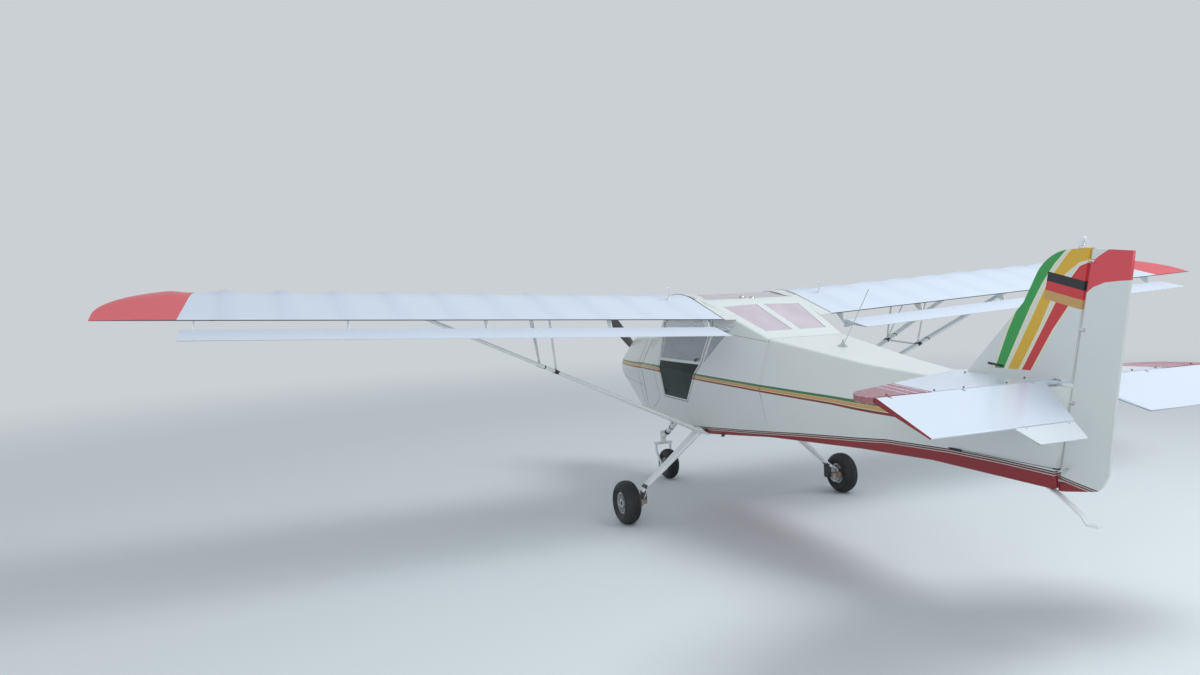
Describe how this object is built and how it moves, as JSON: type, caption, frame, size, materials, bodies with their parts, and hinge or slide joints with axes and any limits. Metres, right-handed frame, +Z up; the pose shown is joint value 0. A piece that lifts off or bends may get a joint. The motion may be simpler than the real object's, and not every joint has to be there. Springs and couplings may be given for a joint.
{
  "type": "ultralight aircraft",
  "caption": "High-wing two-seat ultralight aircraft with strut-braced fabric wings, drooping flaperons, tractor propeller, nose-wheel gear, lifting doors and steerable nose wheel.",
  "frame": {"origin": "on the ground, under the middle of the length and span", "axes": "+X towards the pilot's left, along the span; +Y aft; +Z up"},
  "size_m": [9.108, 5.505, 2.012],
  "materials": {
    "wing_fabric": "satin",
    "body_fabric": "satin",
    "moulding": "gloss",
    "clear_glass": "gloss",
    "tinted_glass": "gloss",
    "seat_cloth": "matte",
    "inner_panel": "matte",
    "bare_metal": "satin",
    "leg_metal": "satin",
    "fitting_metal": "satin",
    "white_metal": "satin",
    "blade_wood": "satin",
    "tyre": "matte",
    "wheel_metal": "satin",
    "beacon_glass": "gloss",
    "black_plastic": "matte"
  },
  "bodies": {
    "airframe": {"antenna": "black_plastic", "beacon": "beacon_glass", "boot_cowl": "moulding", "brake_callipers": "fitting_metal", "cabin_frame": "body_fabric", "control_sticks": "fitting_metal", "cowl": "moulding", "door_hinges": "fitting_metal", "elevator_hinges": "fitting_metal", "engine": "bare_metal", "fin": "body_fabric", "firewall": "bare_metal", "flaperon_brackets": "fitting_metal", "floor_panel": "inner_panel", "instrument_panel": "inner_panel", "jury_struts": "leg_metal", "lift_struts": "leg_metal", "main_axles": "fitting_metal", "main_gear_legs": "leg_metal", "nose_leg": "leg_metal", "quarter_windows": "clear_glass", "rear_windows": "tinted_glass", "roof_window": "tinted_glass", "root_fairings": "moulding", "rudder_hinges": "fitting_metal", "rudder_pedals": "fitting_metal", "seat_base": "seat_cloth", "seats": "seat_cloth", "spar_tubes": "bare_metal", "stabilizer": "body_fabric", "tail_cone": "body_fabric", "tail_skid": "white_metal", "windshield": "clear_glass", "wing_left": "wing_fabric", "wing_right": "wing_fabric"},
    "propeller": {"propeller": "blade_wood", "spinner": "moulding"},
    "nose_steering": {"nose_fork": "leg_metal"},
    "nose_wheel_set": {"nose_wheel": "wheel_metal", "nose_tyre": "tyre"},
    "wheel_left_set": {"wheel_left": "wheel_metal", "tyre_left": "tyre"},
    "wheel_right_set": {"wheel_right": "wheel_metal", "tyre_right": "tyre"},
    "flaperon_left": {"flaperon_left": "wing_fabric"},
    "flaperon_right": {"flaperon_right": "wing_fabric"},
    "elevator": {"elevator": "body_fabric"},
    "trim_tab": {"trim_tab": "white_metal"},
    "rudder": {"rudder": "body_fabric"},
    "door_left": {"door_frame_left": "body_fabric", "door_glass_left": "clear_glass", "door_panel_left": "tinted_glass"},
    "door_right": {"door_frame_right": "body_fabric", "door_glass_right": "clear_glass", "door_panel_right": "tinted_glass"}
  },
  "joints": [
    {"name": "prop_spin", "type": "hinge", "parent": "airframe", "child": "propeller", "pos_m": [0, -2.5575, 1.105], "axis": [0, 1, 0], "continuous": true},
    {"name": "nose_steer", "type": "hinge", "parent": "airframe", "child": "nose_steering", "pos_m": [0, -2.2125, 0.38], "axis": [0, 0, 1], "range_deg": [-20, 20]},
    {"name": "nose_wheel_spin", "type": "hinge", "parent": "nose_steering", "child": "nose_wheel_set", "pos_m": [0, -2.1065, 0.144], "axis": [1, 0, 0], "continuous": true},
    {"name": "left_wheel_spin", "type": "hinge", "parent": "airframe", "child": "wheel_left_set", "pos_m": [1.026, -0.7825, 0.171], "axis": [1, 0, 0], "continuous": true},
    {"name": "right_wheel_spin", "type": "hinge", "parent": "airframe", "child": "wheel_right_set", "pos_m": [-1.026, -0.7825, 0.171], "axis": [1, 0, 0], "continuous": true},
    {"name": "left_flaperon_hinge", "type": "hinge", "parent": "airframe", "child": "flaperon_left", "pos_m": [0.47723, -0.1105, 1.48613], "axis": [0.9988, 0, 0.0494], "range_deg": [-30, 20]},
    {"name": "right_flaperon_hinge", "type": "hinge", "parent": "airframe", "child": "flaperon_right", "pos_m": [-0.47723, -0.1105, 1.48613], "axis": [0.9988, 0, -0.0494], "range_deg": [-30, 20]},
    {"name": "elevator_hinge", "type": "hinge", "parent": "airframe", "child": "elevator", "pos_m": [0, 2.3375, 1.296], "axis": [1, 0, 0], "range_deg": [-4, 49]},
    {"name": "trim_hinge", "type": "hinge", "parent": "elevator", "child": "trim_tab", "pos_m": [0.4, 2.64628, 1.15852], "axis": [1, 0, 0], "range_deg": [-5, 40]},
    {"name": "rudder_hinge", "type": "hinge", "parent": "airframe", "child": "rudder", "pos_m": [0, 2.3485, 0.751], "axis": [0, 0.1731, 0.9849], "range_deg": [-25, 25]},
    {"name": "left_door_hinge", "type": "hinge", "parent": "airframe", "child": "door_left", "pos_m": [0.476, -0.77, 1.583], "axis": [0, -1, 0], "range_deg": [0, 85]},
    {"name": "right_door_hinge", "type": "hinge", "parent": "airframe", "child": "door_right", "pos_m": [-0.476, -0.77, 1.583], "axis": [0, 1, 0], "range_deg": [0, 85]}
  ],
  "couplings": [
    {"joint": "nose_steer", "follows": "rudder_hinge", "ratio": -0.8}
  ]
}
